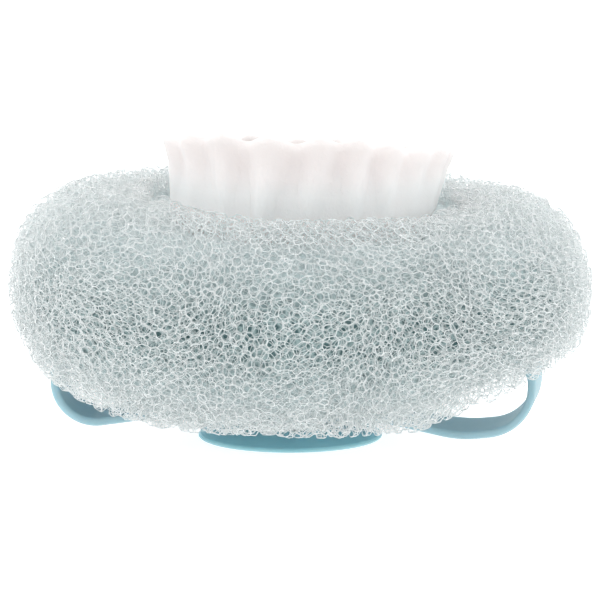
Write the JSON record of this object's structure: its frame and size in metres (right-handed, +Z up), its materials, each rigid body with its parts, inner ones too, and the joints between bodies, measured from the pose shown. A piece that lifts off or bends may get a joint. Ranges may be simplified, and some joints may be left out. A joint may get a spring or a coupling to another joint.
{
  "type": "loofah back scrubber",
  "caption": "Round bath scrubber: open-cell foam bun with a ruffled white core, finger strap loops and a suction-cup base.",
  "frame": {"origin": "under the middle of the foam bun, on the plane of the suction cup's lip", "axes": "+Z up through the ruffled core, +X towards the right strap loop, +Y away from the front"},
  "size_m": [0.15, 0.15, 0.076],
  "materials": {
    "scrub_foam": "open-cell reticulated foam, pale blue-green",
    "core_foam": "fine-cell soft foam, white",
    "binding_thread": "white twisted thread",
    "strap_rubber": "satin soft rubber, pale blue",
    "cup_vinyl": "glossy soft vinyl, pale blue",
    "hub_plastic": "moulded plastic, pale blue"
  },
  "bodies": {
    "root": {"suction_cup": "cup_vinyl", "hub_spool": "hub_plastic", "strap_washer": "hub_plastic", "clamp_plate": "hub_plastic", "clamp_rivet": "hub_plastic", "right_strap_root": "strap_rubber", "left_strap_root": "strap_rubber", "foam_ring": "scrub_foam", "foam_gather_tie": "binding_thread", "core_base_pad": "core_foam", "core_outer_ruffle": "core_foam", "core_middle_ruffle": "core_foam", "core_inner_ruffle": "core_foam", "core_bud": "core_foam", "core_binding": "binding_thread"},
    "right_loop": {"right_strap_loop": "strap_rubber"},
    "left_loop": {"left_strap_loop": "strap_rubber"}
  },
  "joints": [
    {"name": "right_strap_flex", "type": "hinge", "parent": "root", "child": "right_loop", "pos_m": [0.0218, 0, 0.00425], "axis": [0, 1, 0], "range_deg": [0, 40], "stiffness_Nm_per_rad": 0.4},
    {"name": "left_strap_flex", "type": "hinge", "parent": "root", "child": "left_loop", "pos_m": [-0.0278, 0, 0.0068], "axis": [0, -1, 0], "range_deg": [0, 40], "stiffness_Nm_per_rad": 0.4}
  ]
}
